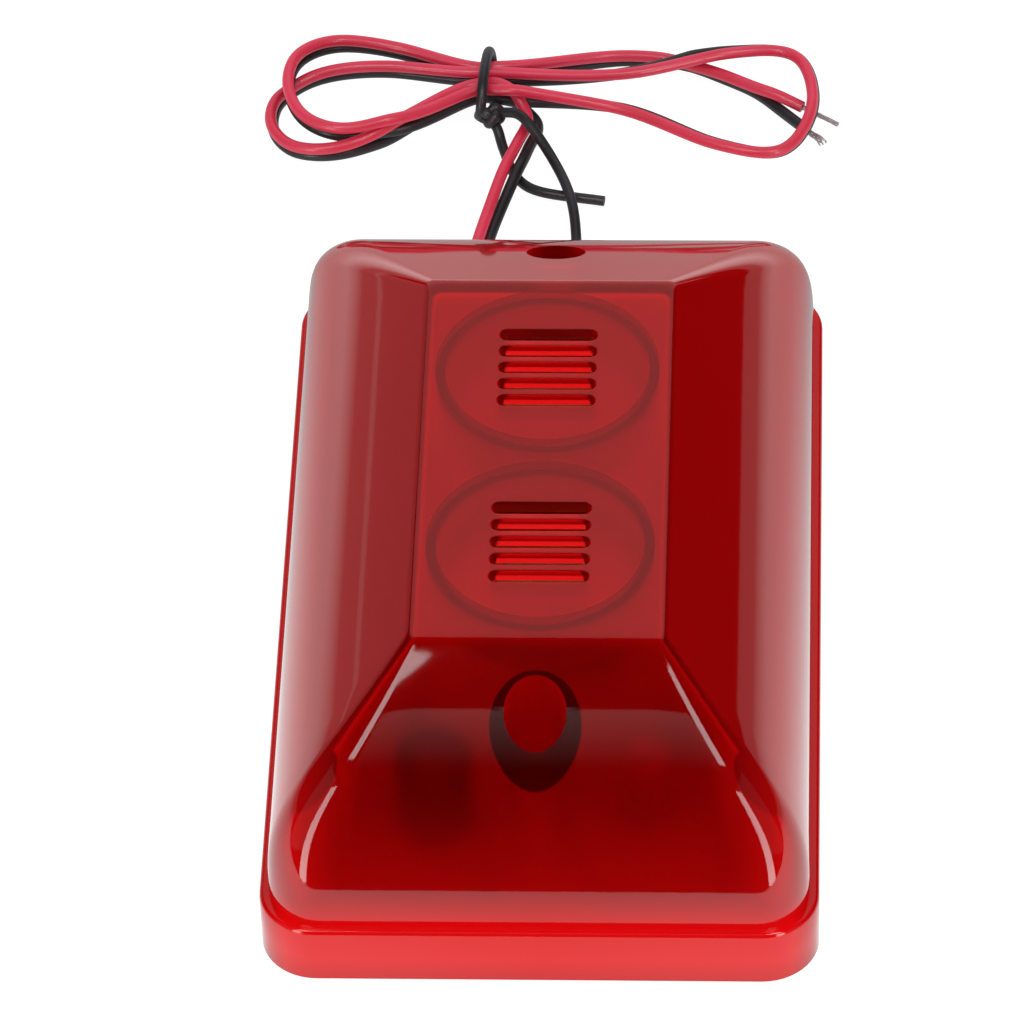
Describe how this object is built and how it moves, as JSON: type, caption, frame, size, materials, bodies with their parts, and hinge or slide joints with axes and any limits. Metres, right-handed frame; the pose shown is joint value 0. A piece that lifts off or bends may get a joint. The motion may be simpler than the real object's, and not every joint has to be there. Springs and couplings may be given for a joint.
{
  "type": "alarm siren",
  "caption": "Wall-mounted piezo alarm siren with strobe lamps: translucent red domed cover with sound slots and screw wells, back plate, circuit board and coiled twin supply wires.",
  "frame": {"origin": "centre of the housing on the back face of the base plate, which rests on the wall", "axes": "+Z away from the wall through the sound slots; +Y along the housing towards the cable end; +X across the housing"},
  "size_m": [0.083, 0.1803, 0.043],
  "materials": {
    "red_shell": "translucent gloss",
    "red_plastic": "gloss",
    "board": "paper laminate",
    "ferrite": "sintered",
    "copper": "enamelled wire",
    "heat_shrink": "satin",
    "black_resin": "moulded",
    "can_sleeve": "gloss",
    "resistor_paint": "painted",
    "lamp": "clear red",
    "disc_brass": "rolled",
    "piezo_ceramic": "silvered",
    "glue": "cured",
    "red_pvc": "satin",
    "black_pvc": "satin",
    "tinned_copper": "tinned",
    "zinc": "plated"
  },
  "bodies": {
    "base": {"base_plate": "red_plastic", "circuit_board": "board", "coil_core": "ferrite", "coil_winding": "copper", "coil_sleeve": "heat_shrink", "driver_chip": "black_resin", "transistor_1": "black_resin", "transistor_2": "black_resin", "diode": "black_resin", "smoothing_capacitor": "can_sleeve", "resistor_1": "resistor_paint", "resistor_2": "resistor_paint", "resistor_3": "resistor_paint", "strobe_led_1": "lamp", "strobe_led_2": "lamp", "strobe_led_3": "lamp", "strobe_led_4": "lamp", "red_wire": "red_pvc", "black_wire": "black_pvc", "red_wire_end": "tinned_copper", "black_wire_end": "tinned_copper", "hank_tie": "black_pvc", "board_screw_1": "zinc", "board_screw_2": "zinc"},
    "cover": {"front_cover": "red_shell", "front_piezo_disc": "disc_brass", "rear_piezo_disc": "disc_brass", "front_piezo_ceramic": "piezo_ceramic", "rear_piezo_ceramic": "piezo_ceramic", "front_glue_ring": "glue", "rear_glue_ring": "glue", "front_live_lead": "red_pvc", "rear_live_lead": "red_pvc", "front_ground_lead": "black_pvc", "rear_ground_lead": "black_pvc"},
    "case_screw_1_body": {"case_screw_1": "zinc"},
    "case_screw_2_body": {"case_screw_2": "zinc"},
    "case_screw_3_body": {"case_screw_3": "zinc"},
    "case_screw_4_body": {"case_screw_4": "zinc"}
  },
  "joints": [
    {"name": "cover_lift", "type": "slide", "parent": "base", "child": "cover", "axis": [0, 0, 1], "range_m": [0, 0.045]},
    {"name": "case_screw_1_withdraw", "type": "slide", "parent": "base", "child": "case_screw_1_body", "axis": [0, 0, -1], "range_m": [0, 0.012]},
    {"name": "case_screw_2_withdraw", "type": "slide", "parent": "base", "child": "case_screw_2_body", "axis": [0, 0, -1], "range_m": [0, 0.012]},
    {"name": "case_screw_3_withdraw", "type": "slide", "parent": "base", "child": "case_screw_3_body", "axis": [0, 0, -1], "range_m": [0, 0.012]},
    {"name": "case_screw_4_withdraw", "type": "slide", "parent": "base", "child": "case_screw_4_body", "axis": [0, 0, -1], "range_m": [0, 0.012]}
  ]
}
